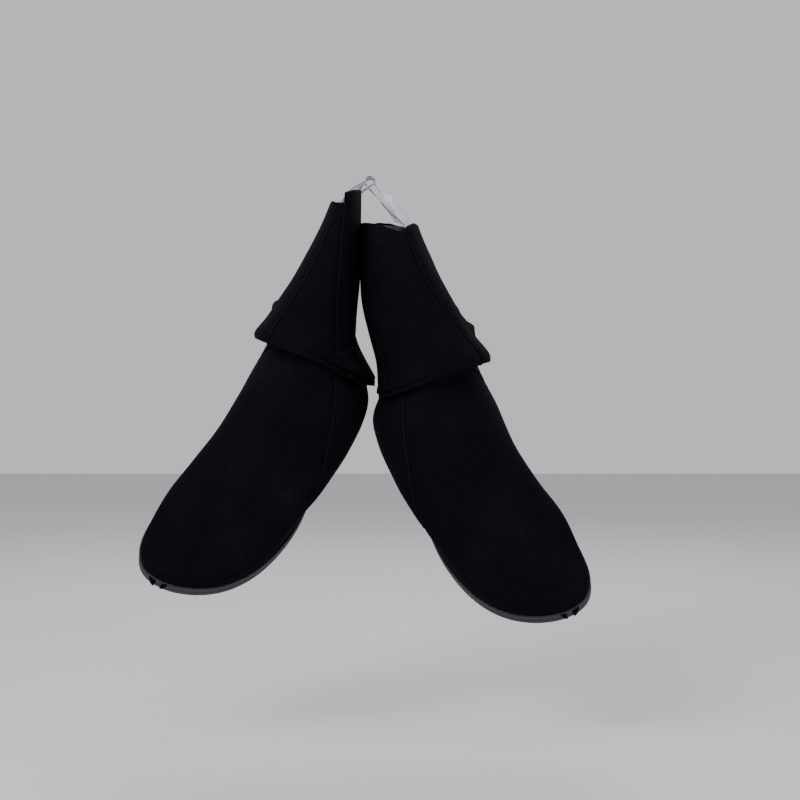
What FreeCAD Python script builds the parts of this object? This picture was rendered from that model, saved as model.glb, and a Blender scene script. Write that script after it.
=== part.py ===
import FreeCAD, Part
import math
import os

# A pair of pull-on neoprene boots, hung side by side by their cuff loops from one hook.
# Millimetres. The origin is the point where both loops rest on the hook. +Z is up, +Y points
# at the wall behind the pair, and the insteps face -Y. The toes hang down and splay apart.

# ---- driving dimensions -----------------------------------------------------------------
sole_length = 280.0          # outsole, heel end to toe end
sole_width_scale = 1.0       # stretches every width of the foot and sole together
neoprene = 5.0               # foam sheet with its knit face
lining = 1.0                 # red knit lining bonded inside the foam
outsole_thickness = 5.0
tread_depth = 1.6
tread_groove = 2.4
tread_pitch = 11.0
tread_border = 5.0           # plain rim left round the tread
rand_height = 13.5           # rubber strip round the lower edge, measured from the ground
rand_thickness = 3.0
board_thickness = 2.0        # sewn-in insole board
footbed_thickness = 3.0
footbed_gap = 0.4
ankle_gap = 0.4              # each side of the fold between shaft and foot
ankle_wedge = 7.0            # degrees left open behind the fold for the foot to swing back
seam_width = 2.4             # raised thread over each seam
seam_height = 0.7
tape_width = 12.0            # glued tape inside each shaft seam
tape_thickness = 0.6
loop_width = 10.0            # woven tape of a hanging loop
loop_thickness = 0.8
loop_sewn_length = 14.0      # how far each loop leg runs down inside the cuff
loop_wall_gap = 0.9          # between the sewn ends and the curved lining behind them
loop_place = 5.6             # each loop's middle, in front of or behind the origin
loop_foot_y = -16.0          # where along the medial wall the two ends are sewn together
tack_height = 4.0            # bar of stitches through the end of a loop leg
tack_thickness = 0.8
hook_radius = 4.0            # of the bar that the loops hang over
seam_set_back = 14.0         # shaft seams, behind the front of the shaft
seam_lean = 0.05             # the seams follow the lean of the shaft's front
foot_pitch = 30.0            # sole plane against the vertical, toes away from the wall
ring_points = 20

# ---- the foot, in its own standing frame --------------------------------------------------
# x runs from the heel end to the toe end, h is the height over the ground, and a width is
# taken each side of the sole's centre line. Lengths are shares of the sole_length.
SHARE = sole_length / 286.0
crease = (95.0 * SHARE, 97.0)              # fold line across the instep
heel_back_top = (-13.0 * SHARE, 38.0)      # where the foot's opening ends behind the heel

# each ring: top (x, h), bottom (x, h), lateral and medial half-widths, sideways shift at the
# top and at the bottom of the ring (towards the lateral side). FLOOR ends a ring on the sole.
FLOOR = 0.0
FOOT_RINGS = [
    ((82.0, 118.0), (-26.0, 66.0), 29.0, 39.0, 18.0, -18.0),
    ((91.0, 102.5), (-13.0, 38.0), 32.0, 38.0, 19.0, -12.0),
    ((99.0, 94.0), (1.0, FLOOR), 41.0, 37.0, 20.0, -4.0),
    ((109.0, 88.0), (40.0, FLOOR), 55.0, 38.0, 19.0, 0.0),
    ((124.0, 80.0), (84.0, FLOOR), 59.0, 41.0, 17.0, 2.0),
    ((152.0, 67.0), (128.0, FLOOR), 59.0, 42.0, 11.0, 4.0),
    ((186.0, 53.0), (173.0, FLOOR), 56.0, 45.0, 4.0, 3.0),
    ((220.0, 42.0), (215.0, FLOOR), 49.0, 49.0, -2.0, -1.0),
    ((250.0, 32.0), (249.0, FLOOR), 41.0, 43.0, -8.0, -8.0),
    ((269.0, 25.0), (270.0, FLOOR), 30.0, 32.0, -17.0, -17.0),
    ((279.0, 17.0), (279.0, FLOOR), 15.0, 17.0, -24.0, -24.0),
]

# outsole outline, walked once round: (x, distance to the lateral side)
SOLE_OUTLINE = [
    (0.0, 0.0), (9.0, 20.0), (32.0, 33.5), (75.0, 36.5), (118.0, 45.0), (158.0, 53.5),
    (192.0, 55.0), (222.0, 49.5), (250.0, 37.5), (271.0, 19.0), (283.0, -4.0), (286.0, -26.0),
    (280.0, -43.0), (262.0, -52.0), (232.0, -51.5), (200.0, -46.5), (162.0, -35.5),
    (118.0, -28.5), (72.0, -29.0), (32.0, -31.5), (9.0, -20.0),
]

# ---- the two boots ------------------------------------------------------------------------
# side is +1 where the lateral side faces +X (the left foot's boot hangs on the left).
# A shaft ring: height, medial x, lateral x, front y, back y. The first ring is above the cuff.
# A cuff edge is a plane: height at the origin, rise per mm of x, rise per mm of y.
BOOTS = {
    "left": {
        "side": 1.0,
        "splay": 23.2,
        "heel": FreeCAD.Vector(-43.5, 28.0, -124.0),
        "shaft_rings": [
            (4.0, -21.0, -7.0, -85.0, 29.0),
            (-22.0, -29.5, -7.0, -90.0, 25.5),
            (-47.0, -39.5, -7.1, -94.0, 21.0),
            (-89.0, -62.5, -7.5, -101.0, 9.0),
            (-120.0, -82.0, -10.0, -106.0, 5.0),
            (-138.0, -90.0, -11.0, -108.0, 4.0),
            (-156.0, -86.0, -7.0, -109.0, 3.0),
            (-176.0, -80.0, 5.5, -109.0, 2.0),
            (-215.0, -80.0, 6.0, -108.0, 0.0),
        ],
        "front_cuff": (-22.8, 0.0, 0.137),
        "back_cuff": (-7.8, 0.5, 0.137),
        "seam_turn": 12.0,
    },
    "right": {
        "side": -1.0,
        "splay": 20.0,
        "heel": FreeCAD.Vector(51.0, 28.0, -141.0),
        "shaft_rings": [
            (-20.0, 32.0, -6.3, -84.0, 29.0),
            (-50.0, 42.5, -6.3, -90.0, 24.0),
            (-75.0, 53.5, -6.2, -94.0, 17.0),
            (-108.0, 70.5, -5.0, -101.0, 7.0),
            (-140.0, 88.0, 2.5, -106.0, 4.0),
            (-160.0, 97.0, 7.5, -109.0, 3.0),
            (-180.0, 94.0, 9.0, -109.0, 2.0),
            (-225.0, 92.0, 10.0, -108.0, 0.0),
        ],
        "front_cuff": (-41.0, -0.05, 0.115),
        "back_cuff": (-40.0, -0.05, 0.115),
        "seam_turn": 10.0,
    },
}

os.makedirs("parts", exist_ok=True)
BIG = 1000.0


def export(shape, name):
    shape.exportStep("parts/" + name + ".step")
    print(name, "solids", len(shape.Solids), "volume cm3", round(shape.Volume / 1000.0, 2))


def closed_curve(points):
    curve = Part.BSplineCurve()
    curve.interpolate(Points=points, PeriodicFlag=True)
    return Part.Wire([curve.toShape()])


def skin(rings):
    """A closed solid through rings of points, capped flat at both ends."""
    surface = Part.BSplineSurface()
    surface.interpolate([ring + [ring[0]] for ring in rings])
    side = surface.toShape()
    ends = [surface.uIso(value).toShape() for value in surface.bounds()[:2]]
    caps = [Part.Face(Part.Wire([edge])) for edge in ends]
    shell = Part.makeShell([side] + caps)
    shell.sewShape()
    solid = Part.makeSolid(shell)
    if solid.Volume < 0:
        solid.reverse()
    return solid


def plate_on_plane(point, normal, low, high):
    """A very wide plate parallel to a plane, between two distances along its normal."""
    plate = Part.makeBox(BIG, BIG, high - low)
    centred = FreeCAD.Placement(FreeCAD.Vector(-BIG / 2, -BIG / 2, low), FreeCAD.Rotation())
    turn = FreeCAD.Rotation(FreeCAD.Vector(0, 0, 1), normal)
    plate.Placement = FreeCAD.Placement(point, turn).multiply(centred)
    return plate


def half_space(point, normal):
    """Everything on the side of a plane that its normal points to."""
    return plate_on_plane(point, normal, 0.0, BIG)


def slab(point, normal, half_width):
    return plate_on_plane(point, normal, -half_width, half_width)


def largest(shape, count=1):
    """Keeps the biggest solids of a cut, so that no crumb is left beside them."""
    solids = sorted(shape.Solids, key=lambda s: s.Volume, reverse=True)[:count]
    return solids[0] if count == 1 else Part.makeCompound(solids)


# ---- foot frame -----------------------------------------------------------------------------
def foot_axes(boot):
    """World directions of the foot: along to the toe, across to +X, up to the instep."""
    pitch = math.radians(foot_pitch)
    splay = math.radians(boot["splay"]) * boot["side"]
    along = FreeCAD.Vector(-math.sin(splay) * math.cos(pitch), -math.sin(pitch),
                           -math.cos(splay) * math.cos(pitch))
    across = FreeCAD.Vector(math.cos(splay), 0, -math.sin(splay))
    up = FreeCAD.Vector(math.sin(splay) * math.sin(pitch), -math.cos(pitch),
                        math.cos(splay) * math.sin(pitch))
    return along, across, up


def foot_point(boot, x, lateral, h):
    along, across, up = foot_axes(boot)
    return boot["heel"] + along * x + across * (lateral * boot["side"]) + up * h


def foot_direction(boot, x, h):
    along, across, up = foot_axes(boot)
    return (along * x + up * h).normalize()


def foot_volume(boot, inset, floor):
    """The foot as a closed volume, its wall moved in by inset and its floor at a height."""
    rings = []
    for (top_x, top_h), (low_x, low_h), lateral, medial, top_shift, low_shift in FOOT_RINGS:
        run = FreeCAD.Vector((low_x - top_x) * SHARE, low_h - top_h, 0)
        unit = FreeCAD.Vector(run).normalize()
        top = FreeCAD.Vector(top_x * SHARE, top_h, 0) + unit * inset
        low = FreeCAD.Vector(low_x * SHARE, low_h, 0)
        if low_h > FLOOR:
            low = low - unit * inset
        else:
            low = FreeCAD.Vector(low.x + inset * max(0.0, 1.0 - low_x / 40.0), floor, 0)
        points = []
        for i in range(ring_points):
            angle = 2 * math.pi * i / ring_points - math.pi / 2
            across, depth = math.cos(angle), math.sin(angle)
            # the lower half is squarer than the upper half, because it sits on the sole
            power = 0.78 if depth < 0 else 0.92
            across = math.copysign(abs(across) ** power, across)
            depth = math.copysign(abs(depth) ** power, depth)
            share = (1.0 - depth) / 2.0
            spot = top + (low - top) * share
            shift = top_shift + (low_shift - top_shift) * share
            half = (lateral if across > 0 else medial) - inset
            lateral_place = (shift + across * half) * sole_width_scale
            points.append(foot_point(boot, spot.x, lateral_place, spot.y))
        rings.append(points)
    return skin(rings)


def sole_prism(boot, inset, low, high):
    """A plate with the outsole's outline, drawn in by inset, between two heights."""
    centre = FreeCAD.Vector(sole_length / 2, 0, 0)
    points = []
    for x, lateral in SOLE_OUTLINE:
        spot = FreeCAD.Vector(x * SHARE, lateral * sole_width_scale, 0)
        points.append(spot)
    moved = []
    count = len(points)
    for i, spot in enumerate(points):
        tangent = (points[(i + 1) % count] - points[i - 1]).normalize()
        normal = FreeCAD.Vector(-tangent.y, tangent.x, 0)
        if (spot - centre).dot(normal) < 0:
            normal = normal * -1
        moved.append(spot - normal * inset)
    wire = closed_curve([foot_point(boot, p.x, p.y, low) for p in moved])
    up = foot_axes(boot)[2]
    return Part.Face(wire).extrude(up * (high - low))


# ---- shaft ------------------------------------------------------------------------------------
def shaft_volume(boot, inset):
    """The shaft as a closed volume that runs past both its ends, its wall moved in by inset."""
    rings = []
    for z, medial_x, lateral_x, front_y, back_y in boot["shaft_rings"]:
        middle_x, half_x = (medial_x + lateral_x) / 2, abs(lateral_x - medial_x) / 2 - inset
        middle_y, half_y = (front_y + back_y) / 2, (back_y - front_y) / 2 - inset
        points = []
        for i in range(ring_points):
            angle = 2 * math.pi * i / ring_points + math.pi / 2
            x = middle_x + half_x * math.copysign(abs(math.cos(angle)) ** 0.85, math.cos(angle))
            y = middle_y + half_y * math.copysign(abs(math.sin(angle)) ** 0.95, math.sin(angle))
            points.append(FreeCAD.Vector(x, y, z))
        rings.append(points)
    return skin(rings)


def cuff_height(edge, x, y):
    height, rise_x, rise_y = edge
    return height + rise_x * x + rise_y * y


def below_cuff(edge):
    height, rise_x, rise_y = edge
    return half_space(FreeCAD.Vector(0, 0, height), FreeCAD.Vector(rise_x, rise_y, -1.0))


def medial_wall_x(boot, y, z):
    """Inner face of the lining on the medial side, from the two rings round a height."""
    rings = boot["shaft_rings"]
    upper = max(n for n in range(len(rings) - 1) if rings[n][0] >= z)
    high, low = rings[upper], rings[upper + 1]
    share = (high[0] - z) / (high[0] - low[0])
    medial_x, lateral_x, front_y, back_y = [a + (b - a) * share for a, b in zip(high[1:], low[1:])]
    inset = neoprene + lining
    half_x = (medial_x - lateral_x) / 2 - math.copysign(inset, medial_x - lateral_x)
    half_y = (back_y - front_y) / 2 - inset
    depth = abs(y - (front_y + back_y) / 2) / half_y
    return (medial_x + lateral_x) / 2 + half_x * (1 - depth ** (2 / 0.95)) ** 0.425


# ---- one boot -----------------------------------------------------------------------------------
def fold_plane(boot, opened):
    """Point and upward normal of the plane across the ankle, turned down by opened degrees."""
    run_x, run_h = heel_back_top[0] - crease[0], heel_back_top[1] - crease[1]
    slant = math.atan2(run_h, run_x) + math.radians(opened)
    normal = foot_direction(boot, math.sin(slant), -math.cos(slant))
    return foot_point(boot, crease[0], 0.0, crease[1]), normal


def seam_plane(boot):
    """Upright plane through both side seams of the shaft, turned with the boot."""
    turn = math.radians(boot["seam_turn"])
    z, medial_x, lateral_x, front_y, back_y = boot["shaft_rings"][3]
    point = FreeCAD.Vector((medial_x + lateral_x) / 2, front_y + seam_set_back, z)
    normal = FreeCAD.Vector(-math.sin(turn), -math.cos(turn), seam_lean)
    return point, normal.normalize()


def quarter_plane(boot):
    """Slanted plane between vamp and heel panel, further back on the medial side."""
    along, across, up = foot_axes(boot)
    point = foot_point(boot, crease[0] + 7.0, 44.0 * sole_width_scale, crease[1] - 9.0)
    normal = along * 80.0 + up * 50.0 - across * (50.0 * boot["side"])
    return point, normal.normalize()


def tread(boot):
    """Chevron grooves across the underside of the outsole."""
    grooves = []
    reach, dip = 70.0, 16.0
    count = int(sole_length / tread_pitch)
    for n in range(1, count + 1):
        x = n * tread_pitch - 4.0
        outline = [(x, 0.0), (x - dip, reach), (x - dip + tread_groove, reach),
                   (x + tread_groove, 0.0), (x - dip + tread_groove, -reach), (x - dip, -reach)]
        corners = [foot_point(boot, a, b, -1.0) for a, b in outline]
        wire = Part.makePolygon(corners + [corners[0]])
        grooves.append(Part.Face(wire).extrude(foot_axes(boot)[2] * (tread_depth + 1.0)))
    return Part.makeCompound(grooves).common(sole_prism(boot, tread_border, -1.0, tread_depth))


def make_sole(boot, name):
    outsole = sole_prism(boot, 0.0, 0.0, outsole_thickness)
    export(outsole.cut(tread(boot)), name + "_outsole")
    rand = sole_prism(boot, 0.0, outsole_thickness, rand_height)
    rand = rand.cut(sole_prism(boot, rand_thickness, outsole_thickness - 1, rand_height + 1))
    export(rand, name + "_rand")
    board_top = outsole_thickness + board_thickness
    board = sole_prism(boot, rand_thickness, outsole_thickness, board_top)
    export(board, name + "_insole_board")


def make_foot(boot, name):
    ground = foot_point(boot, 0, 0, 0)
    up = foot_axes(boot)[2]
    board_top = outsole_thickness + board_thickness
    footbed_top = board_top + footbed_thickness
    point, normal = fold_plane(boot, ankle_wedge)
    below_fold = half_space(point - normal * ankle_gap, normal * -1)
    # below the rand's top edge the upper stays inside the rand
    collar = sole_prism(boot, -40.0, -2.0, rand_height)
    collar = collar.cut(sole_prism(boot, rand_thickness, -3.0, rand_height + 1.0))
    above_board = half_space(ground + up * board_top, up)
    outer = foot_volume(boot, 0.0, outsole_thickness)
    hollow = foot_volume(boot, neoprene, 2.0)
    bare = foot_volume(boot, neoprene + lining, 2.0)
    upper = outer.common(below_fold).common(above_board).cut(hollow).cut(collar)
    upper = largest(upper)
    seam_point, seam_normal = quarter_plane(boot)
    vamp = largest(upper.common(half_space(seam_point, seam_normal)))
    quarter = largest(upper.common(half_space(seam_point, seam_normal * -1)))
    export(vamp, name + "_vamp_panel")
    export(quarter, name + "_heel_panel")
    above_bed = half_space(ground + up * footbed_top, up)
    foot_lining = hollow.common(below_fold).common(above_bed).cut(bare).cut(collar)
    export(largest(foot_lining), name + "_foot_lining")
    bed = sole_prism(boot, rand_thickness + neoprene + footbed_gap, board_top, footbed_top)
    export(largest(bed.common(foot_volume(boot, neoprene + footbed_gap, 2.0))), name + "_footbed")
    strip = slab(seam_point, seam_normal, seam_width / 2).common(below_fold)
    strip = strip.common(half_space(ground + up * (rand_height + 0.5), up))
    thread = foot_volume(boot, -seam_height, outsole_thickness).common(strip).cut(outer)
    export(largest(thread, 2), name + "_foot_seam_thread")


def make_shaft(boot, name, loop):
    """The shaft's pieces. The foam and the lining are dented where the sewn loop presses in."""
    point, normal = fold_plane(boot, 0.0)
    above_fold = half_space(point + normal * ankle_gap, normal)
    front_cuff, back_cuff = below_cuff(boot["front_cuff"]), below_cuff(boot["back_cuff"])
    seam_point, seam_normal = seam_plane(boot)
    front_half = half_space(seam_point, seam_normal)
    back_half = half_space(seam_point, seam_normal * -1)
    outer = shaft_volume(boot, 0.0)
    hollow = shaft_volume(boot, neoprene)
    bare = shaft_volume(boot, neoprene + lining)
    tube = outer.common(above_fold)
    front = tube.common(front_half).common(front_cuff).cut(hollow).cut(loop)
    export(largest(front), name + "_shaft_front_panel")
    back = tube.common(back_half).common(back_cuff).cut(hollow).cut(loop)
    export(largest(back), name + "_shaft_back_panel")
    tube = hollow.common(above_fold)
    front = tube.common(front_half).common(front_cuff).cut(bare)
    back = tube.common(back_half).common(back_cuff).cut(bare)
    export(largest(front.fuse(back).cut(loop)), name + "_shaft_lining")
    strip = slab(seam_point, seam_normal, seam_width / 2).common(above_fold).common(front_cuff)
    thread = shaft_volume(boot, -seam_height).common(strip).cut(outer)
    export(largest(thread, 2), name + "_shaft_seam_thread")
    strip = slab(seam_point, seam_normal, tape_width / 2).common(above_fold).common(front_cuff)
    inner_face = shaft_volume(boot, neoprene + lining + tape_thickness)
    tape = bare.common(strip).cut(inner_face)
    export(largest(tape, 2), name + "_seam_tape")


def tape_run(start, end, thickness):
    """A straight run of tape between two points, its width kept along Y."""
    run = end - start
    wide = FreeCAD.Vector(0, loop_width / 2, 0)
    thin = FreeCAD.Vector(-run.z, 0, run.x).normalize() * (thickness / 2)
    corners = [start - wide - thin, start + wide - thin, start + wide + thin, start - wide + thin]
    return Part.Face(Part.makePolygon(corners + [corners[0]])).extrude(run)


def make_loop(boot, name):
    """A tape loop over the hook's bar, both ends sewn one on the other inside the cuff.

    Returns the loop with its bar of stitches, for the shaft to be dented by.
    """
    side = boot["side"]
    y = -loop_place * side
    way = FreeCAD.Vector(0, 1, 0)
    bar = FreeCAD.Vector(0, y - loop_width / 2, -hook_radius)
    arch = Part.makeCylinder(hook_radius + loop_thickness, loop_width, bar, way)
    arch = arch.cut(Part.makeCylinder(hook_radius, loop_width, bar, way))
    loop = arch.common(half_space(FreeCAD.Vector(0, 0, -hook_radius), FreeCAD.Vector(0, 0, 1)))
    x = medial_wall_x(boot, loop_foot_y, boot["front_cuff"][0])
    rim_z = cuff_height(boot["front_cuff"], x, loop_foot_y) + 1.0
    low_z = rim_z - loop_sewn_length
    stand_off = (loop_wall_gap + loop_thickness) * side
    rim = FreeCAD.Vector(medial_wall_x(boot, loop_foot_y, rim_z) + stand_off, loop_foot_y, rim_z)
    low = FreeCAD.Vector(medial_wall_x(boot, loop_foot_y, low_z) + stand_off, loop_foot_y, low_z)
    loop = loop.fuse(tape_run(rim, low, loop_thickness * 2))
    for way_x in (-1.0, 1.0):
        top = FreeCAD.Vector(way_x * (hook_radius + loop_thickness / 2), y, -hook_radius + 0.1)
        foot = rim + FreeCAD.Vector(way_x * loop_thickness / 2, 0, -0.6)
        loop = loop.fuse(tape_run(top, foot, loop_thickness))
    export(loop, name + "_hang_loop")
    inner = FreeCAD.Vector((loop_thickness + tack_thickness / 2) * side, 0, 0)
    share = 1.0 - tack_height / loop_sewn_length
    tack = tape_run(rim + (low - rim) * share + inner, low + inner, tack_thickness).cut(loop)
    export(tack, name + "_loop_tack")
    return loop.fuse(tack)


for name, boot in BOOTS.items():
    make_sole(boot, name)
    make_foot(boot, name)
    make_shaft(boot, name, make_loop(boot, name))
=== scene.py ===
# %% [markdown]
# A pair of neoprene boots hangs from one hook by two tape loops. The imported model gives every
# piece its place. This lesson replaces its plain soft solids with sewn foam panels, and gives
# every piece a finish of its own.

# %% Load the frame
import bpy
import math
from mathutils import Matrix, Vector, noise
from mathutils.kdtree import KDTree


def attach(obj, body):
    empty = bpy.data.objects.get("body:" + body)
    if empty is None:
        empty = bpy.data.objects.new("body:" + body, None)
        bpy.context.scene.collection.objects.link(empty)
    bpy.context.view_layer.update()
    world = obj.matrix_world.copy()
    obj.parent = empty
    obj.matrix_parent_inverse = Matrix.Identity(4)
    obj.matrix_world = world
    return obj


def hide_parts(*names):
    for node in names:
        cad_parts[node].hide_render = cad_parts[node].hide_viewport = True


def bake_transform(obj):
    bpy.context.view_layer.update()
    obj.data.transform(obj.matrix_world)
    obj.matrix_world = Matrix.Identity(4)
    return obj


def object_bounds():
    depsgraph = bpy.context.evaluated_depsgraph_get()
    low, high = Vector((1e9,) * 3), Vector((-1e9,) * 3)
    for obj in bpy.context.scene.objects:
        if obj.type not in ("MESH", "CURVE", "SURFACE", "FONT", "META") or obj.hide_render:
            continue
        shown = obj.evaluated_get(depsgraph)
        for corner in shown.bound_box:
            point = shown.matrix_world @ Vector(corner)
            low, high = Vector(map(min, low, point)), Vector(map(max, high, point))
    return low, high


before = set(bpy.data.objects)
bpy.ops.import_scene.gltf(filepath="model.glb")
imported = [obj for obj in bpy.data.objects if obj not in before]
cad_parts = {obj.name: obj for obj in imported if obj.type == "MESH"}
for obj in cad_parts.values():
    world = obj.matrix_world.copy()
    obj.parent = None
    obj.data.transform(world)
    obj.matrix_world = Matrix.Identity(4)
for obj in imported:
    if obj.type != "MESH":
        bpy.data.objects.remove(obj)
model_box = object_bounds()
MM = 0.001

# %% [markdown]
# The camera comes first, so that everything made later can be looked at from the front. The
# lens is long, because a long lens keeps both boots nearly free of perspective.

# %% Camera, floor and light
camera_data = bpy.data.cameras.new("camera")
camera_data.sensor_width = 36.0
camera_data.lens = 62.8
camera = bpy.data.objects.new("camera", camera_data)
camera.location = (0.0258, -1.2, -0.191)
camera.rotation_euler = (math.radians(90), 0, 0)
bpy.context.scene.collection.objects.link(camera)
bpy.context.scene.camera = camera


def soft_light(name, place, aim, size, watts, colour):
    lamp = bpy.data.lights.new(name, "AREA")
    lamp.size = size
    lamp.energy = watts
    lamp.color = colour
    holder = bpy.data.objects.new(name, lamp)
    holder.location = place
    holder.rotation_euler = (Vector(aim) - Vector(place)).to_track_quat("-Z", "Y").to_euler()
    bpy.context.scene.collection.objects.link(holder)


soft_light("key", (-0.9, -1.3, 0.75), (0.0, -0.06, -0.2), 0.9, 26, (1.0, 0.985, 0.96))
soft_light("fill", (1.2, -0.9, 0.1), (0.0, -0.06, -0.2), 1.2, 7, (0.92, 0.95, 1.0))
soft_light("rim", (0.1, 0.9, 0.9), (0.0, -0.06, -0.2), 1.0, 10, (1.0, 1.0, 1.0))
world = bpy.data.worlds.new("studio")
bpy.context.scene.world = world
world.use_nodes = True
world.node_tree.nodes["Background"].inputs["Color"].default_value = (0.66, 0.65, 0.68, 1)
world.node_tree.nodes["Background"].inputs["Strength"].default_value = 1.0
bpy.ops.object.select_all(action="DESELECT")
bpy.ops.mesh.primitive_plane_add(size=8.0, location=(0, 0, model_box[0][2] - 0.10))
floor = bpy.context.object
floor.name = "floor"
print("floor at", round(floor.location.z, 3))

# %% [markdown]
# Each boot is described by rings: level rings down the shaft, and slanted rings that turn into
# upright ones along the foot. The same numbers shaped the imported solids, in millimetres. A row
# of the shaft table is depth below the hook, medial x, lateral x, front y and back y. A row of
# the foot table is a place along the foot, then its top and bottom points in the standing
# foot's own frame, its two half-widths, and the sideways shift of its top and its bottom.

# %% Measures of the boots
SHARE = 280.0 / 286.0
RAND_TOP = 13.5
SOLE = 5.0
PITCH = math.radians(30.0)
FOAM = 4.8
FOOT_TABLE = [
    (0.0, 82.0, 118.0, -26.0, 66.0, 23.0, 39.0, 18.0, -18.0),
    (1.0, 91.0, 102.5, -13.0, 38.0, 25.0, 38.0, 19.0, -12.0),
    (2.0, 99.0, 94.0, 1.0, SOLE, 36.0, 37.0, 20.0, -4.0),
    (3.0, 109.0, 88.0, 40.0, SOLE, 55.0, 38.0, 19.0, 0.0),
    (4.0, 124.0, 80.0, 84.0, SOLE, 59.0, 41.0, 17.0, 2.0),
    (5.0, 152.0, 67.0, 128.0, SOLE, 59.0, 42.0, 11.0, 4.0),
    (6.0, 186.0, 53.0, 173.0, SOLE, 56.0, 45.0, 4.0, 3.0),
    (7.0, 220.0, 42.0, 215.0, SOLE, 49.0, 49.0, -2.0, -1.0),
    (8.0, 250.0, 32.0, 249.0, SOLE, 41.0, 43.0, -8.0, -8.0),
    (9.0, 269.0, 25.0, 270.0, SOLE, 30.0, 32.0, -17.0, -17.0),
    (10.0, 279.0, 18.0, 279.0, SOLE, 15.0, 17.0, -24.0, -24.0),
    (11.0, 284.0, 12.0, 284.0, SOLE, 3.0, 3.0, -26.0, -26.0),
]
SOLE_OUTLINE = [
    (0.0, 0.0), (9.0, 20.0), (32.0, 33.5), (75.0, 36.5), (118.0, 45.0), (158.0, 53.5),
    (192.0, 55.0), (222.0, 49.5), (250.0, 37.5), (271.0, 19.0), (283.0, -4.0), (286.0, -26.0),
    (280.0, -43.0), (262.0, -52.0), (232.0, -51.5), (200.0, -46.5), (162.0, -35.5),
    (118.0, -28.5), (72.0, -29.0), (32.0, -31.5), (9.0, -20.0),
]
BOOTS = {
    "left": {
        "side": 1.0,
        "lean": 0.4,
        "splay": math.radians(23.2),
        "heel": Vector((-43.5, 28.0, -124.0)),
        "shaft": [
            (-4.0, -21.0, -7.0, -85.0, 29.0),
            (22.0, -29.5, -7.0, -90.0, 25.5),
            (47.0, -39.5, -7.1, -94.0, 21.0),
            (89.0, -62.5, -7.5, -101.0, 9.0),
            (120.0, -82.0, -10.0, -106.0, 5.0),
            (138.0, -90.0, -11.0, -108.0, 4.0),
            (156.0, -86.0, -12.0, -109.0, 3.0),
            (166.0, -83.0, -6.0, -109.0, 2.5),
            (178.0, -80.0, 4.0, -109.0, 2.0),
            (215.0, -80.0, 6.0, -108.0, 0.0),
        ],
        "front_cuff": (-22.8, 0.0, 0.137),
        "back_cuff": (-7.8, 0.5, 0.137),
        "cuff_bumps": [(-45.0, 16.0, 2.6), (-14.0, 10.0, -1.2), (40.0, 30.0, 1.5)],
        "seam_lateral": [(0.0, 8.0), (0.25, 18.0), (0.88, 42.0), (1.0, 38.0)],
        "seam_medial": [(0.0, 13.0), (0.25, 17.0), (0.88, 33.0), (1.0, 45.0)],
    },
    "right": {
        "side": -1.0,
        "lean": 1.5,
        "splay": math.radians(20.0),
        "heel": Vector((51.0, 28.0, -141.0)),
        "shaft": [
            (20.0, 32.0, -6.3, -84.0, 29.0),
            (50.0, 42.5, -6.3, -90.0, 24.0),
            (75.0, 53.5, -6.2, -94.0, 17.0),
            (108.0, 70.5, -5.0, -101.0, 7.0),
            (140.0, 88.0, 2.5, -106.0, 4.0),
            (160.0, 97.0, 7.5, -109.0, 3.0),
            (180.0, 94.0, 9.0, -109.0, 2.0),
            (225.0, 92.0, 10.0, -108.0, 0.0),
        ],
        "front_cuff": (-41.0, -0.05, 0.115),
        "back_cuff": (-40.0, -0.05, 0.115),
        "cuff_bumps": [(-50.0, 14.0, 2.4), (-14.0, 22.0, -3.0), (35.0, 20.0, 0.8)],
        "seam_lateral": [(0.0, 66.0), (0.3, 66.0), (0.85, 58.0), (1.0, 48.0)],
        "seam_medial": [(0.0, 22.0), (0.3, 27.0), (0.85, 52.0), (1.0, 55.0)],
    },
}
FOOT_SEAM_LATERAL = [(1.0, 30.0), (2.0, 26.0), (3.0, 23.0), (4.0, 30.0), (5.0, 48.0), (6.0, 82.0),
                     (6.6, 110.0)]
FOOT_SEAM_MEDIAL = [(1.0, 50.0), (2.0, 66.0), (3.0, 85.0), (4.0, 118.0)]


def between(table, key):
    """Every value of a table at a place between its rows, along a smooth curve."""
    i = 0
    while i < len(table) - 2 and key > table[i + 1][0]:
        i += 1
    low, high = table[i], table[i + 1]
    before, after = table[max(i - 1, 0)], table[min(i + 2, len(table) - 1)]
    span = high[0] - low[0]
    t = min(max((key - low[0]) / span, 0.0), 1.0)
    values = []
    for k in range(1, len(low)):
        leave = (high[k] - before[k]) / (high[0] - before[0]) * span
        arrive = (after[k] - low[k]) / (after[0] - low[0]) * span
        values.append((2 * t ** 3 - 3 * t ** 2 + 1) * low[k] + (t ** 3 - 2 * t ** 2 + t) * leave
                      + (3 * t ** 2 - 2 * t ** 3) * high[k] + (t ** 3 - t ** 2) * arrive)
    return values


def power(value, exponent):
    return math.copysign(abs(value) ** exponent, value)


def smooth_step(value):
    value = min(max(value, 0.0), 1.0)
    return value * value * (3 - 2 * value)


print("measures ready for", list(BOOTS))

# %% [markdown]
# The foot stands in a frame of its own: along to the toe, across to the lateral side, and up
# from the ground. The fold plane crosses the ankle from the crease on the instep to the back
# of the heel. The shaft's rows are cut off by that plane below, and by the cuff above.

# %% Places on the boot
def foot_axes(boot):
    turn = boot["splay"] * boot["side"]
    along = Vector((-math.sin(turn) * math.cos(PITCH), -math.sin(PITCH),
                    -math.cos(turn) * math.cos(PITCH)))
    across = Vector((math.cos(turn), 0, -math.sin(turn)))
    up = Vector((math.sin(turn) * math.sin(PITCH), -math.cos(PITCH),
                 math.cos(turn) * math.sin(PITCH)))
    return along, across, up


def foot_place(boot, x, lateral, h):
    along, across, up = foot_axes(boot)
    return boot["heel"] + along * x + across * (lateral * boot["side"]) + up * h


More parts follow.
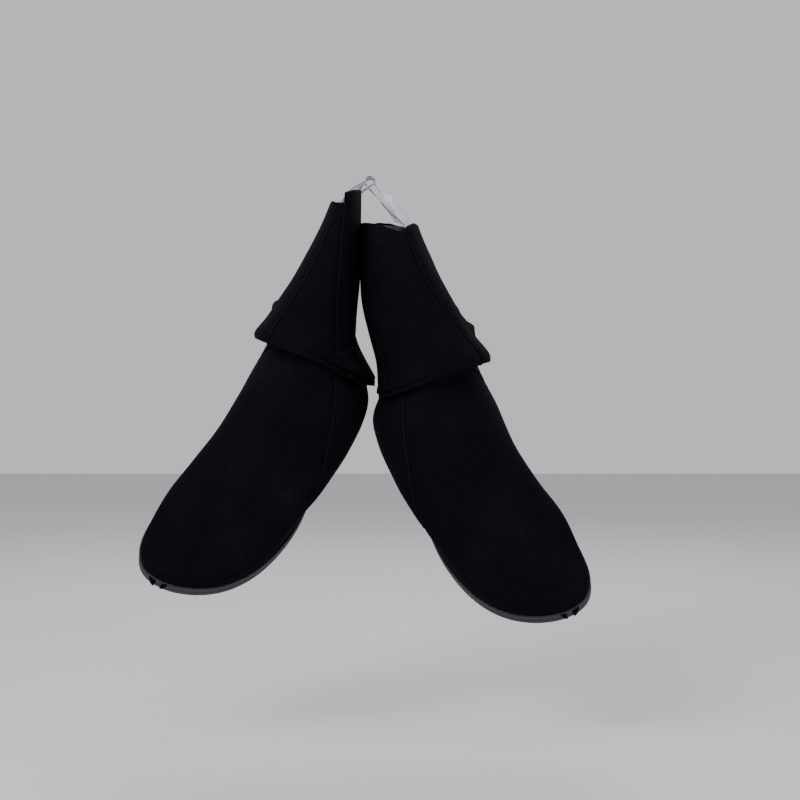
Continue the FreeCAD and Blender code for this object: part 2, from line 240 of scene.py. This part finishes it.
def fold_plane(boot):
    along, across, up = foot_axes(boot)
    slant = math.atan2(38.0 - 97.0, (-13.0 - 95.0) * SHARE)
    normal = (along * math.sin(slant) - up * math.cos(slant)).normalized()
    return foot_place(boot, 95.0 * SHARE, 0.0, 97.0), normal


def dense_outline(steps=48):
    count = len(SOLE_OUTLINE)
    points = []
    for i in range(count):
        a, b, c, d = [Vector(SOLE_OUTLINE[(i + k) % count]) for k in (-1, 0, 1, 2)]
        for step in range(steps):
            t = step / steps
            points.append(0.5 * (2 * b + (c - a) * t + (2 * a - 5 * b + 4 * c - d) * t * t
                                 + (3 * b - a - 3 * c + d) * t ** 3))
    return [Vector((p.x * SHARE, p.y)) for p in points]


OUTLINE = dense_outline()
OUTLINE_TREE = KDTree(len(OUTLINE))
for index, spot in enumerate(OUTLINE):
    OUTLINE_TREE.insert((spot.x, spot.y, 0), index)
OUTLINE_TREE.balance()


def outward_at(index):
    """Outward direction of the sole's outline, seen from above."""
    run = (OUTLINE[(index + 3) % len(OUTLINE)] - OUTLINE[index - 3]).normalized()
    middle = Vector((min(max(OUTLINE[index].x, 40.0), 235.0), -4.0))
    side = Vector((-run.y, run.x))
    return side if side.dot(OUTLINE[index] - middle) > 0 else -side


def flush_with_rand(x, lateral, h, inset):
    """Moves a low point of the upper sideways, so that it meets the rand all round."""
    spot, index, gap = OUTLINE_TREE.find((x, lateral, 0))
    outward = outward_at(index)
    inside = -(Vector((x, lateral)) - OUTLINE[index]).dot(outward)
    share = (1 - smooth_step((h - RAND_TOP) / 20.0)) * (1 - smooth_step((inside - 4.0) / 16.0))
    move = outward * ((inside - 1.0 - inset) * share)
    return x + move.x, lateral + move.y, h


def foot_spot(boot, r, angle, inset):
    top_x, top_h, low_x, low_h, lateral, medial, top_shift, low_shift = between(FOOT_TABLE, r)
    top, low = Vector((top_x * SHARE, top_h)), Vector((low_x * SHARE, low_h))
    run = (low - top).normalized()
    top, low = top + run * inset, low - run * inset
    across, depth = math.sin(angle), math.cos(angle)
    bend = 0.78 if depth < 0 else 0.92
    across, depth = power(across, bend), power(depth, bend)
    share = (1 - depth) / 2
    x, h = top + (low - top) * share
    half = (lateral if across > 0 else medial) - inset
    place = top_shift + (low_shift - top_shift) * share + across * half
    if r > 1.0:
        moved = flush_with_rand(x, place, h, inset)
        mix = smooth_step(r - 1.0)
        x, place = x + (moved[0] - x) * mix, place + (moved[1] - place) * mix
    return foot_place(boot, x, place, h)


def cuff_wave(boot, angle):
    """The cut edge of slack foam is never straight: small rises and dips in millimetres."""
    degrees = math.degrees(angle)
    wave = 0.7 * math.sin(angle * 3.0 + boot["side"]) + 0.4 * math.sin(angle * 8.0)
    for at, width, height in boot["cuff_bumps"]:
        wave += height * math.exp(-((degrees - at) / width) ** 2)
    return wave


def shaft_spot(boot, s, angle, inset, cuff):
    """s runs from 0 on the cuff's edge to 1 on the fold plane."""
    point, normal = fold_plane(boot)
    height, rise_x, rise_y = boot[cuff]
    height += cuff_wave(boot, angle)
    # the fold lies level across the front and the sides, and only climbs behind the ankle
    lift = smooth_step((abs(angle) - math.radians(78)) / math.radians(72))
    z = height + (-150.0 - height) * s
    for again in range(6):
        medial_x, lateral_x, front_y, back_y = between(boot["shaft"], -z)
        half_x, half_y = (lateral_x - medial_x) / 2, (back_y - front_y) / 2
        half_x -= math.copysign(inset, half_x)
        half_y -= inset
        x = (medial_x + lateral_x) / 2 + half_x * power(math.sin(angle), 0.85)
        y = (front_y + back_y) / 2 - half_y * power(math.cos(angle), 0.95)
        top_z = height + rise_x * x + rise_y * y
        depth = front_y + (y - front_y) * lift
        low_z = point.z - (normal.x * (x - point.x) + normal.y * (depth - point.y)) / normal.z
        z = top_z + (low_z - top_z) * s
    return Vector((x, y, z))


print("left crease at", [round(v, 1) for v in fold_plane(BOOTS["left"])[0]])

# %% [markdown]
# Foam bulges where it is bent and dents where it is slack. The shaft swells just above the
# fold and tucks under itself, and the foot starts inside it. Behind the ankle the spare length
# gathers into a few level wrinkles. Broad slack shapes come from smooth noise with a fixed
# place, so each run gives the same boot.

# %% Rows down the boot, and how the foam swells
SHAFT_ROWS = [("shaft", 0.97 * (i / 34) ** 0.94) for i in range(35)]
FOLD_ROWS = [("fold", 0.0), ("fold", 0.35), ("fold", 0.65), ("fold", 1.0)]
FOOT_ROWS = [("foot", 1.12 + 9.88 * (i / 64) ** 1.08) for i in range(65)]
ROWS = SHAFT_ROWS + FOLD_ROWS + FOOT_ROWS


def slack(point, seed, size, depth):
    return depth * noise.noise(Vector((point.x / size + seed, point.y / size, point.z / size)))


def swell(boot, kind, place, angle, point):
    """How far the foam stands out from its plain ring, in millimetres."""
    seed = 3.0 if boot["side"] > 0 else 11.0
    out = slack(point, seed, 55.0, 1.8) + slack(point, seed + 5.0, 24.0, 0.7)
    behind = smooth_step((abs(angle) - math.radians(138)) / math.radians(30))
    medial, lateral = max(0.0, -math.sin(angle)), max(0.0, math.sin(angle))
    hollow = (smooth_step((abs(angle) - math.radians(88)) / math.radians(25))
              * (1 - smooth_step((abs(angle) - math.radians(150)) / math.radians(25))))
    if kind == "shaft":
        out *= 1 - 0.8 * lateral
        out += (1.0 + 4.2 * medial) * math.exp(-((place - 0.90) / 0.10) ** 2)
        out += 0.9 * behind * math.sin((place - 0.62) * 52.0) * smooth_step((place - 0.6) / 0.2)
        out -= 1.8 * (1 - behind) * (1 - lateral) * math.exp(-((place - 0.45) / 0.3) ** 2)
        out += boot["lean"] * lateral
        out -= (3.0 + 4.0 * medial) * hollow * math.exp(-((place - 1.0) / 0.16) ** 2)
    if kind == "foot":
        near = math.exp(-((place - 1.0) / 0.8) ** 2)
        out += 0.6 * near * (1 - behind) * math.sin(angle * 5.0 + seed)
        out -= (3.0 + 5.0 * medial) * hollow * math.exp(-((place - 1.0) / 0.7) ** 2)
        out += 0.9 * behind * math.sin((place - 1.0) * 14.0) * (1 - smooth_step(place - 1.3))
    return out


def row_middle(boot, kind, place, inset, cuff):
    front = spot_on(boot, kind, place, 0.0, inset, cuff, False)
    back = spot_on(boot, kind, place, math.pi, inset, cuff, False)
    return (front + back) / 2


def spot_on(boot, kind, place, angle, inset, cuff, swollen=True):
    if kind == "fold":
        above = spot_on(boot, "shaft", 0.985, angle, inset, cuff, swollen)
        below = spot_on(boot, "foot", 1.05, angle, inset, cuff, swollen)
        middle = (above + below) / 2
        centre = (row_middle(boot, "shaft", 0.985, inset, cuff)
                  + row_middle(boot, "foot", 1.05, inset, cuff)) / 2
        inward = (centre - middle).normalized()
        behind = smooth_step((abs(angle) - math.radians(100)) / math.radians(50))
        valley = middle + inward * (8.0 - 5.0 * behind)
        if place < 0.5:
            return above.lerp(valley, smooth_step(place / 0.5) * 0.86 + 0.08)
        return below.lerp(valley, smooth_step((1 - place) / 0.5) * 0.86 + 0.08)
    if kind == "shaft":
        point = shaft_spot(boot, place, angle, inset, cuff)
    else:
        point = foot_spot(boot, place, angle, inset)
    if not swollen:
        return point
    outward = point - row_middle(boot, kind, place, inset, cuff)
    outward = outward - outward.project(foot_axes(boot)[0]) if kind == "foot" else outward
    low = 1.0
    if kind == "foot":
        h = (point - boot["heel"]).dot(foot_axes(boot)[2])
        low = smooth_step((h - RAND_TOP - 2.0) / 20.0)
    return point + outward.normalized() * (swell(boot, kind, place, angle, point) * low)


def seam_angle(boot, kind, place, side):
    """Angle of the seam at a row, from the front: lateral side positive, medial negative."""
    if kind == "fold":
        kind, place = "shaft", 1.0
    if kind == "shaft":
        return side * math.radians(between(boot["seam_lateral" if side > 0 else "seam_medial"],
                                           place)[0])
    table = FOOT_SEAM_LATERAL if side > 0 else FOOT_SEAM_MEDIAL
    angle = between(table, min(place, table[-1][0]))[0]
    start = boot["seam_lateral" if side > 0 else "seam_medial"][-1][1]
    return side * math.radians(angle + (start - table[0][1]) * (1 - smooth_step(place - 1.0)))


print("rows per boot", len(ROWS))

# %% [markdown]
# Each boot is sewn from a front panel that runs from the cuff to the toe, and a back panel that
# wraps the heel. A panel starts as a grid, one column of which follows each seam. Its points
# are then laid on the boot, and the foam gets its thickness from Solidify.

# %% Lay a grid on the boot
def grid_piece(name, columns, rows, place):
    """A grid whose points are laid out by place(u, row number)."""
    bpy.ops.object.select_all(action="DESELECT")
    bpy.ops.mesh.primitive_grid_add(x_subdivisions=columns, y_subdivisions=rows, size=2.0)
    piece = bpy.context.object
    piece.name = name
    for vertex in piece.data.vertices:
        u = (vertex.co.x + 1) / 2
        row = round((vertex.co.y + 1) / 2 * rows)
        vertex.co = place(u, row) * MM
    return piece


def face_outwards(piece, centres):
    """Turns the faces of an open sheet so that they look away from its inner points."""
    piece.data.update()
    score = 0.0
    for face in piece.data.polygons:
        nearest = min(centres, key=lambda c: (c - face.center).length)
        score += (face.center - nearest).dot(face.normal)
    if score < 0:
        piece.data.flip_normals()


def apply_all(piece):
    bpy.ops.object.select_all(action="DESELECT")
    piece.select_set(True)
    bpy.context.view_layer.objects.active = piece
    for modifier in list(piece.modifiers):
        bpy.ops.object.modifier_apply(modifier=modifier.name)


def smooth_piece(piece):
    bpy.ops.object.select_all(action="DESELECT")
    piece.select_set(True)
    bpy.context.view_layer.objects.active = piece
    bpy.ops.object.shade_smooth()


def panel_spot(boot, u, row, start, end, inset, cuff):
    kind, place = row
    eased = 0.65 * u + 0.35 * (0.5 - 0.5 * math.cos(math.pi * u))
    angle = start + (end - start) * eased
    wrapped = angle if angle <= math.pi else angle - 2 * math.pi
    point = spot_on(boot, kind, place, wrapped, inset, cuff)
    # the foam is pulled in by the stitches along both seams
    edge = min(u, 1 - u) * abs(end - start) * 26.0
    pull = 1.3 * math.exp(-(edge / 2.2) ** 2)
    centre = row_middle(boot, kind, place, inset, cuff) if kind != "fold" else point
    inward = centre - point
    return point + inward.normalized() * pull if inward.length > 1.0 else point


def foam_panel(name, boot, rows, front, columns, cuff):
    def place(u, number):
        kind, along = rows[number]
        lateral = seam_angle(boot, kind, along, 1.0)
        medial = seam_angle(boot, kind, along, -1.0)
        if front:
            return panel_spot(boot, u, rows[number], medial, lateral, 0.0, cuff)
        return panel_spot(boot, u, rows[number], lateral, medial + 2 * math.pi, 0.0, cuff)
    return grid_piece(name, columns, len(rows) - 1, place)


BACK_ROWS = [row for row in ROWS if row[0] != "foot" or row[1] < 6.65]
panels = {}
for name, boot in BOOTS.items():
    centres = [row_middle(boot, kind, at, 0.0, "front_cuff") * MM
               for kind, at in ROWS[::6] if kind != "fold"]
    for part, rows, columns, cuff in (("front", ROWS, 30, "front_cuff"),
                                      ("back", BACK_ROWS, 46, "back_cuff")):
        piece = foam_panel(name + "_" + part + "_panel", boot, rows, part == "front", columns, cuff)
        face_outwards(piece, centres)
        fine = piece.modifiers.new("fine", "SUBSURF")
        fine.levels = 1
        fine.render_levels = 1
        thick = piece.modifiers.new("foam", "SOLIDIFY")
        thick.thickness = FOAM * MM
        thick.offset = -1.0
        apply_all(piece)
        smooth_piece(piece)
        panels[name, part] = piece
        print(piece.name, "faces", len(piece.data.polygons))

# %% [markdown]
# The red knit lining is laid on the same rows, set in by the foam's thickness, and by a little
# more beside the fold, where the foam turns inwards. It shows where the cuffs gape, and behind
# the hanging tape.

# %% Lining
def lining_piece(name, boot):
    rows = [("shaft", 0.012 + 0.955 * i / 20) for i in range(21)]
    rows += [("foot", 1.15 + 0.5 * i) for i in range(18)]

    def place(u, number):
        kind, at = rows[number]
        angle = (2 * math.pi * u) % (2 * math.pi)
        wrapped = angle if angle <= math.pi else angle - 2 * math.pi
        from_fold = (1 - at) if kind == "shaft" else (at - 1) * 0.3
        inset = FOAM + 0.7 + 6.0 * math.exp(-(from_fold / 0.14) ** 2)
        return spot_on(boot, kind, at, wrapped, inset, "front_cuff")
    piece = grid_piece(name, 44, len(rows) - 1, place)
    bpy.ops.object.mode_set(mode="EDIT")
    bpy.ops.mesh.select_all(action="SELECT")
    bpy.ops.mesh.remove_doubles(threshold=0.00005)
    bpy.ops.object.mode_set(mode="OBJECT")
    centres = [row_middle(boot, kind, at, 0.0, "front_cuff") * MM for kind, at in rows[::4]]
    face_outwards(piece, centres)
    wall = piece.modifiers.new("knit", "SOLIDIFY")
    wall.thickness = 0.9 * MM
    wall.offset = -1.0
    fine = piece.modifiers.new("fine", "SUBSURF")
    fine.levels = 1
    fine.render_levels = 1
    apply_all(piece)
    smooth_piece(piece)
    return piece


linings = {name: lining_piece(name + "_red_lining", boot) for name, boot in BOOTS.items()}
print("linings", [len(piece.data.polygons) for piece in linings.values()])

# %% [markdown]
# A flatlock seam is a flat band of thread that bridges two butted edges of foam, crossed by
# short bars. Here it is a narrow strip laid along the seam's line on the boot, with a bar
# every two millimetres.

# %% Flatlock seams
def seam_line(boot, side):
    rows = [row for row in ROWS if row[0] != "foot"
            or row[1] < (6.2 if side > 0 else 3.75)]
    points = []
    for kind, at in rows:
        angle = seam_angle(boot, kind, at, side)
        points.append(panel_spot(boot, 0.0, (kind, at), angle, angle + side, 0.0, "front_cuff"))
    return points


def along_line(points, step):
    """Even steps along a line of points."""
    total = sum((b - a).length for a, b in zip(points, points[1:]))
    count = int(total / step)
    even, i, walked = [], 0, 0.0
    for n in range(count + 1):
        goal = total * n / count
        while i < len(points) - 2 and walked + (points[i + 1] - points[i]).length < goal:
            walked += (points[i + 1] - points[i]).length
            i += 1
        part = (goal - walked) / max((points[i + 1] - points[i]).length, 1e-6)
        even.append(points[i].lerp(points[i + 1], min(part, 1.0)))
    return even, total


def seam_piece(name, boot, side, surface):
    line, length = along_line(seam_line(boot, side), 0.5)
    tree = KDTree(len(surface.data.vertices))
    for vertex in surface.data.vertices:
        tree.insert(vertex.co / MM, vertex.index)
    tree.balance()
    smooth_line = [sum((line[min(max(i + k, 0), len(line) - 1)] for k in range(-4, 5)),
                       Vector()) / 9 for i in range(len(line))]
    ups = []
    for spot in smooth_line:
        near = tree.find_n(spot, 12)
        outer = [surface.data.vertices[index].normal for co, index, gap in near]
        ups.append(sum(outer, Vector()).normalized())

    def place(u, number):
        spot = smooth_line[number]
        run = smooth_line[min(number + 2, len(line) - 1)] - smooth_line[max(number - 2, 0)]
        up = ups[number]
        wide = run.cross(up).normalized()
        across = (u - 0.5) * 2
        bar = 0.5 + 0.5 * math.cos(2 * math.pi * (number / 4.0 + 0.12 * across))
        crown = 0.40 * (1 - across ** 4) + 0.30 * bar * (1 - across ** 2)
        return spot + wide * (across * 1.4) + up * (crown + 0.1)
    piece = grid_piece(name, 6, len(line) - 1, place)
    wall = piece.modifiers.new("thread", "SOLIDIFY")
    wall.thickness = 0.5 * MM
    wall.offset = 0.0
    apply_all(piece)
    smooth_piece(piece)
    return piece, length


seams = {}
for name, boot in BOOTS.items():
    for side, word in ((1.0, "lateral"), (-1.0, "medial")):
        piece, length = seam_piece(name + "_" + word + "_seam", boot, side,
                                   panels[name, "front"])
        seams[name, word] = piece
        print(piece.name, "length mm", round(length))

# %% [markdown]
# The rand is a strip of rubber wrapped round the lower edge, with a rolled lip on top. It
# starts as a band laid along the sole's outline, and its section is a short profile: out from
# the sole, over the lip, and down inside.

# %% Rand
RAND_PROFILE = [(0.5, SOLE + 0.05), (0.0, SOLE + 0.5), (-0.15, 8.0), (0.0, 11.2), (-0.25, 12.2),
                (-0.1, 13.2), (0.5, RAND_TOP + 0.1), (1.2, RAND_TOP - 0.1), (1.8, 12.4),
                (2.2, 9.0), (2.6, SOLE + 0.2)]


def rand_piece(name, boot):
    steps = 252

    def place(u, number):
        index = round(u * steps) % steps * (len(OUTLINE) // steps)
        inset, h = RAND_PROFILE[number]
        spot = OUTLINE[index] - outward_at(index) * inset
        return foot_place(boot, spot.x, spot.y, h)
    piece = grid_piece(name, steps, len(RAND_PROFILE) - 1, place)
    bpy.ops.object.mode_set(mode="EDIT")
    bpy.ops.mesh.select_all(action="SELECT")
    bpy.ops.mesh.remove_doubles(threshold=0.00005)
    bpy.ops.mesh.select_all(action="DESELECT")
    bpy.ops.mesh.select_non_manifold()
    bpy.ops.mesh.bridge_edge_loops()
    bpy.ops.mesh.select_all(action="SELECT")
    bpy.ops.mesh.normals_make_consistent(inside=False)
    bpy.ops.object.mode_set(mode="OBJECT")
    fine = piece.modifiers.new("fine", "SUBSURF")
    fine.levels = 1
    fine.render_levels = 1
    apply_all(piece)
    smooth_piece(piece)
    return piece


rands = {name: rand_piece(name + "_rubber_rand", boot) for name, boot in BOOTS.items()}
print("rands", [len(piece.data.polygons) for piece in rands.values()])

# %% [markdown]
# Each hanging loop is a strip of woven tape. It comes up from inside the cuff, turns over the
# hook, and goes back down to the same place. A tape is a ribbon with a width direction that
# turns along its length, and soft folds along it.

# %% Hanging loops
def medial_wall(boot, y, z, inset):
    medial_x, lateral_x, front_y, back_y = between(boot["shaft"], -z)
    half_x = (medial_x - lateral_x) / 2
    half_x -= math.copysign(inset, half_x)
    depth = abs(y - (front_y + back_y) / 2) / ((back_y - front_y) / 2 - inset)
    return (medial_x + lateral_x) / 2 + half_x * (1 - depth ** (2 / 0.95)) ** 0.425


def tape_piece(name, stations, folds):
    table = [(float(n), *point, *wide, width) for n, (point, wide, width) in enumerate(stations)]
    steps = 12 * (len(stations) - 1)
    line = [between(table, n / 12) for n in range(steps + 1)]
    points = [Vector(values[:3]) for values in line]
    length = sum((b - a).length for a, b in zip(points, points[1:]))

    def place(u, number):
        spot = points[number]
        run = points[min(number + 1, steps)] - points[max(number - 1, 0)]
        wide = Vector(line[number][3:6])
        wide = (wide - wide.project(run)).normalized()
        up = run.cross(wide).normalized()
        width = line[number][6]
        ripple = folds * math.sin(u * math.pi * 3.0) * min(1.0, min(number, steps - number) / 14)
        return spot + wide * ((u - 0.5) * width) + up * ripple
    piece = grid_piece(name, 12, steps, place)
    wall = piece.modifiers.new("weave", "SOLIDIFY")
    wall.thickness = 0.45 * MM
    wall.offset = 0.0
    apply_all(piece)
    smooth_piece(piece)
    print(name, "length mm", round(length))
    return piece, length


def loop_stations(boot, front_leg_width):
    """Sewn end, cuff, hook and back again. Points are in millimetres."""
    side = boot["side"]
    y_hook = -5.6 * side
    rim_x = medial_wall(boot, -16.0, boot["front_cuff"][0], 6.0)
    rim_z = boot["front_cuff"][0] + boot["front_cuff"][1] * rim_x - 16.0 * boot["front_cuff"][2]
    gap = 1.6 * side

    def wall_spot(z, stand):
        return Vector((medial_wall(boot, -16.0, z, 6.0) + gap + stand * side, -16.0, z))
    flat = (0.0, 1.0, 0.0)
    outer = -side * 4.4
    turned = (0.62, 0.55 * side, -0.55 * side)
    rim_outer, rim_inner = wall_spot(rim_z, 0.0), wall_spot(rim_z, 1.2)
    hook_outer = Vector((outer, y_hook, -4.5))
    hook_inner = Vector((-outer, y_hook, -4.5))
    top = Vector((0.0, y_hook, 0.2))
    return [
        (wall_spot(rim_z - 14.0, 0.0), flat, 10.0),
        (wall_spot(rim_z - 6.0, 0.0), flat, 10.0),
        (rim_outer, (0.3, 0.9, -0.2 * side), 10.0),
        (rim_outer.lerp(hook_outer, 0.45), turned, front_leg_width),
        (rim_outer.lerp(hook_outer, 0.8), (0.3, 0.9, -0.1 * side), 10.0),
        (hook_outer, flat, 10.0),
        (top + Vector((outer * 0.66, 0.0, -1.1)), flat, 10.0),
        (top, flat, 10.0),
        (top + Vector((-outer * 0.66, 0.0, -1.1)), flat, 10.0),
        (hook_inner, flat, 10.0),
        (rim_inner.lerp(hook_inner, 0.6), (0.15, 0.95, 0.0), 10.0),
        (rim_inner.lerp(hook_inner, 0.3), (0.15, 0.95, 0.0), 10.0),
        (rim_inner, flat, 10.0),
        (wall_spot(rim_z - 6.0, 1.2), flat, 10.0),
        (wall_spot(rim_z - 14.0, 1.2), flat, 10.0),
    ]


loops = {}
for name, boot in BOOTS.items():
    width = 10.0 if name == "left" else 12.5
    loops[name] = tape_piece(name + "_tape_loop", loop_stations(boot, width), 0.45)

# %% [markdown]
# Shader maths is easier to read as plain expressions. This small class wraps a socket, so that
# adding or multiplying two of them adds the Math nodes. One more helper makes any other node.

# %% Shader helpers
class Wire:
    def __init__(self, tree, socket):
        self.tree = tree
        self.socket = socket

    def math(self, operation, first, second):
        node = self.tree.nodes.new("ShaderNodeMath")
        node.operation = operation
        for slot, value in zip(node.inputs, (first, second)):
            if isinstance(value, Wire):
                self.tree.links.new(value.socket, slot)
            else:
                slot.default_value = value
        return Wire(self.tree, node.outputs[0])

    def __add__(self, other):
        return self.math("ADD", self, other)

    def __radd__(self, other):
        return self.math("ADD", other, self)

    def __mul__(self, other):
        return self.math("MULTIPLY", self, other)

    def __rmul__(self, other):
        return self.math("MULTIPLY", other, self)


class Finish:
    """A material and the nodes that are added to it."""

    def __init__(self, name, roughness, specular, sheen=0.0):
        self.material = bpy.data.materials.new(name)
        self.material.use_nodes = True
        self.tree = self.material.node_tree
        self.shader = self.tree.nodes["Principled BSDF"]
        self.shader.inputs["Roughness"].default_value = roughness
        self.shader.inputs["Specular IOR Level"].default_value = specular
        self.shader.inputs["Sheen Weight"].default_value = sheen
        self.shader.inputs["Sheen Roughness"].default_value = 0.45
        self.place = self.node("ShaderNodeTexCoord", {}, {}, "Object")

    def node(self, kind, settings, links, output=0):
        node = self.tree.nodes.new(kind)
        for key, value in settings.items():
            if key == "stops":
                while len(node.color_ramp.elements) < len(value):
                    node.color_ramp.elements.new(0.5)
                for stop, (at, colour) in zip(node.color_ramp.elements, value):
                    stop.position = at
                    stop.color = colour
            else:
                setattr(node, key, value)
        for slot, value in links.items():
            if isinstance(value, Wire):
                self.tree.links.new(value.socket, node.inputs[slot])
            else:
                node.inputs[slot].default_value = value
        return Wire(self.tree, node.outputs[output])

    def noise(self, scale, detail=2.0):
        return self.node("ShaderNodeTexNoise", {}, {"Vector": self.place, "Scale": scale,
                                                    "Detail": detail})

    def cells(self, scale):
        return self.node("ShaderNodeTexVoronoi", {}, {"Vector": self.place, "Scale": scale})

    def ramp(self, factor, stops):
        return self.node("ShaderNodeValToRGB", {"stops": stops}, {"Fac": factor})

    def mix(self, factor, first, second):
        return self.node("ShaderNodeMix", {"data_type": "RGBA"},
                         {0: factor, 6: first, 7: second}, 2)

    def feed(self, name, wire):
        self.tree.links.new(wire.socket, self.shader.inputs[name])

    def bump(self, height, distance, strength=1.0):
        wire = self.node("ShaderNodeBump", {}, {"Height": height, "Distance": distance,
                                                "Strength": strength})
        self.feed("Normal", wire)


def grey(value, blue=1.0):
    return (value, value, value * blue, 1.0)


# %% [markdown]
# Neoprene's outer face is a fine nylon knit. It is nearly black with a cold cast, and very
# dull, so its specular level is almost nothing: even a weak reflection of pale surroundings
# would turn it grey. Tiny loops of the knit give a grain, and rubbing leaves faint paler clouds.

# %% Neoprene
neoprene = Finish("black knit neoprene", 0.9, 0.03, 0.0)
clouds = neoprene.noise(26.0, 3.0)
loops_of_knit = neoprene.cells(1150.0)
fuzz = neoprene.noise(2300.0, 2.0)
shade = (clouds * 0.5 + loops_of_knit * 0.35 + fuzz * 0.35) * 0.95
neoprene.feed("Base Color", neoprene.ramp(shade, [(0.25, (0.0010, 0.0010, 0.0019, 1)),
                                                  (0.62, (0.0030, 0.0031, 0.0048, 1)),
                                                  (0.95, (0.0085, 0.0088, 0.0120, 1))]))
neoprene.feed("Roughness", 0.70 + clouds * 0.22)
neoprene.bump(loops_of_knit * 0.6 + fuzz * 0.5 + neoprene.noise(240.0, 2.0) * 0.5, 0.0005, 0.8)

# %% [markdown]
# The rand and outsole are moulded rubber: a little lighter and greyer than the knit, with a
# stipple of small pits, and smoother where they have been rubbed.

# %% Rubber
rubber = Finish("stippled black rubber", 0.6, 0.22)
stipple = rubber.cells(620.0)
rub = rubber.noise(60.0, 3.0)
dust = rubber.noise(900.0, 2.0)
rubber.feed("Base Color", rubber.ramp(stipple * 0.55 + rub * 0.35 + dust * 0.25,
                                      [(0.25, (0.008, 0.008, 0.010, 1)),
                                       (0.60, (0.019, 0.019, 0.022, 1)),
                                       (0.95, (0.045, 0.045, 0.050, 1))]))
rubber.feed("Roughness", 0.45 + rub * 0.3)
rubber.bump(stipple + dust * 0.4, 0.0006, 0.9)

# %% [markdown]
# The lining is a red knit with short ribs. The thread is black and a little brighter than the
# knit, and its bars are geometry, so it only needs a fine twist. The tape is a pale woven
# nylon, with warp and weft that can just be seen.

# %% Lining, thread, tape and inner parts
knit = Finish("red knit lining", 0.85, 0.2, 0.2)
ribs = knit.node("ShaderNodeTexWave", {}, {"Vector": knit.place, "Scale": 330.0,
                                          "Distortion": 1.5, "Detail": 1.0}, 1)
knit.feed("Base Color", knit.mix(ribs * 0.7 + knit.noise(700.0) * 0.3, (0.42, 0.006, 0.012, 1),
                                 (0.80, 0.035, 0.040, 1)))
knit.bump(ribs, 0.0006, 0.7)

thread = Finish("black seam thread", 0.85, 0.03)
strands = thread.noise(1500.0, 2.0)
thread.feed("Base Color", thread.mix(strands, grey(0.0015, 1.3), grey(0.009, 1.3)))
thread.bump(strands, 0.0003, 0.6)

tape = Finish("pale woven tape", 0.5, 0.4, 0.1)
weave = tape.node("ShaderNodeTexWave", {}, {"Vector": tape.place, "Scale": 420.0,
                                           "Distortion": 0.6, "Detail": 1.0}, 1)
weft = tape.node("ShaderNodeTexWave", {"bands_direction": "Z"},
                 {"Vector": tape.place, "Scale": 420.0, "Distortion": 0.6, "Detail": 1.0}, 1)
tape.feed("Base Color", tape.mix(weave * 0.5 + weft * 0.5, (0.46, 0.47, 0.52, 1),
                                 (0.66, 0.67, 0.71, 1)))
tape.bump(weave * 0.5 + weft * 0.5, 0.0003, 0.6)

board = Finish("insole board", 0.85, 0.2)
board.feed("Base Color", board.mix(board.noise(500.0, 3.0), (0.10, 0.09, 0.08, 1),
                                   (0.22, 0.20, 0.17, 1)))
bed = Finish("footbed foam", 0.9, 0.2)
bed.feed("Base Color", bed.mix(bed.cells(900.0), grey(0.010, 1.1), grey(0.03, 1.1)))
glued = Finish("glued seam tape", 0.5, 0.3)
glued.feed("Base Color", glued.mix(glued.noise(500.0), grey(0.010, 1.2), grey(0.022, 1.2)))

backdrop = Finish("pale floor", 0.7, 0.2)
backdrop.feed("Base Color", backdrop.mix(backdrop.noise(3.0), (0.60, 0.59, 0.61, 1),
                                         (0.64, 0.63, 0.65, 1)))


def dress(piece, finish):
    piece.data.materials.clear()
    piece.data.materials.append(finish.material)


print("finishes made", len(bpy.data.materials))

# %% [markdown]
# The front and back panels, the lining and the seams cross the ankle, between shaft and foot. The
# span of a bend, from above the fold plane to below it, is worked out but not used: these pieces
# only have their placing baked into their points. The rand rides on the foot, and the tape loop
# rides on the shaft.

# %% Dress the pieces, and give the rand and the tape loop their bodies
for name, boot in BOOTS.items():
    shaft, foot = name + "_shaft", name + "_foot"
    point, normal = fold_plane(boot)
    middle = point.lerp(foot_place(boot, -13.0 * SHARE, 0.0, 38.0), 0.5)
    start, end = (middle + normal * 40.0) * MM, (middle - normal * 34.0) * MM
    crossing = [panels[name, "front"], panels[name, "back"], linings[name],
                seams[name, "lateral"], seams[name, "medial"]]
    dress(panels[name, "front"], neoprene)
    dress(panels[name, "back"], neoprene)
    dress(linings[name], knit)
    dress(seams[name, "lateral"], thread)
    dress(seams[name, "medial"], thread)
    dress(rands[name], rubber)
    for piece in crossing:
        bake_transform(piece)
    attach(rands[name], foot)
    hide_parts(name + "_shaft_front_panel", name + "_vamp_panel")
    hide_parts(name + "_shaft_back_panel", name + "_heel_panel")
    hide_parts(name + "_shaft_lining", name + "_foot_lining")
    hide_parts(name + "_shaft_seam_thread", name + "_foot_seam_thread")
    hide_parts(name + "_rand")
    piece, length = loops[name]
    dress(piece, tape)
    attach(piece, shaft)
    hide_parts(name + "_hang_loop")
    length * MM
    for node, finish in (("outsole", rubber), ("insole_board", board), ("footbed", bed),
                         ("seam_tape", glued), ("loop_tack", thread)):
        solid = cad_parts[name + "_" + node]
        solid.data.materials.clear()
        solid.data.materials.append(finish.material)
floor.data.materials.append(backdrop.material)
print("bodies given", len(BOOTS) * 8, "pieces")
